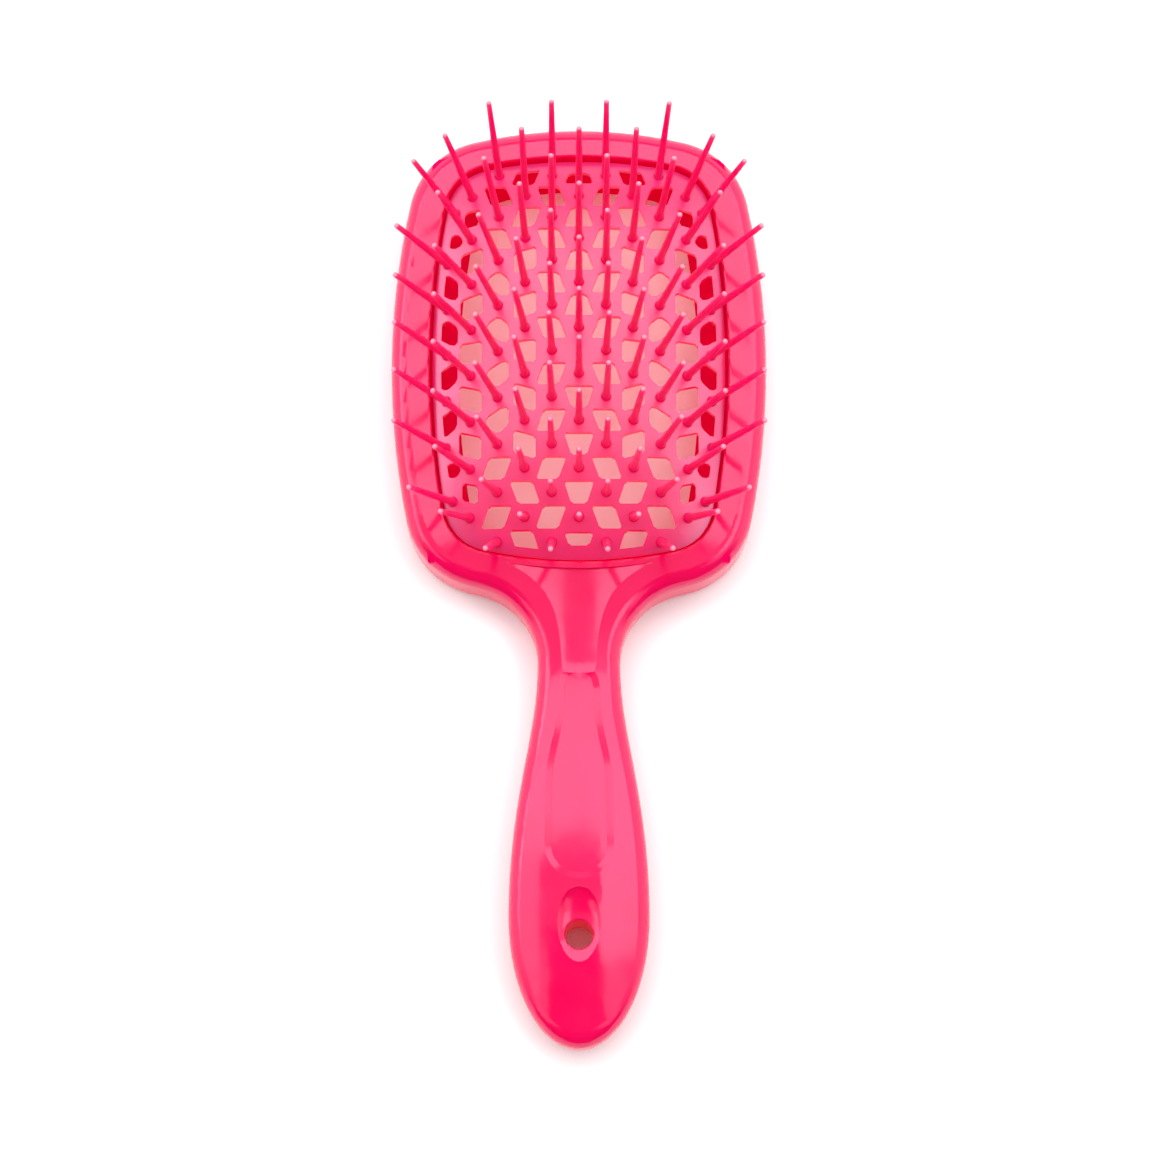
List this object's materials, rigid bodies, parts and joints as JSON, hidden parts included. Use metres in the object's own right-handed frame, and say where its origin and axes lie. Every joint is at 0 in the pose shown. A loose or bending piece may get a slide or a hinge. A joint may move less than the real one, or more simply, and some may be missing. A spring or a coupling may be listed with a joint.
{
  "type": "paddle hairbrush",
  "caption": "Vented paddle hairbrush: rounded rectangular head with an open domed grid of pins, and a swelling handle with a hanging hole.",
  "frame": {"origin": "on the plane of the brush's back, below the middle of its length and width", "axes": "+Y from the handle's tail to the head, +X to the right when the pins face the viewer, +Z out of the back through the pins"},
  "size_m": [0.088, 0.218, 0.0446],
  "materials": {
    "frame_plastic": "polished injection moulding",
    "grid_plastic": "satin injection moulding",
    "pin_plastic": "satin injection moulding with paler tips"
  },
  "bodies": {
    "root": {"frame": "frame_plastic", "vent_grid": "grid_plastic", "pins_centre": "pin_plastic", "pins_left_1": "pin_plastic", "pins_left_2": "pin_plastic", "pins_left_3": "pin_plastic", "pins_left_4": "pin_plastic", "pins_left_5": "pin_plastic", "pins_right_1": "pin_plastic", "pins_right_2": "pin_plastic", "pins_right_3": "pin_plastic", "pins_right_4": "pin_plastic", "pins_right_5": "pin_plastic"}
  },
  "joints": []
}
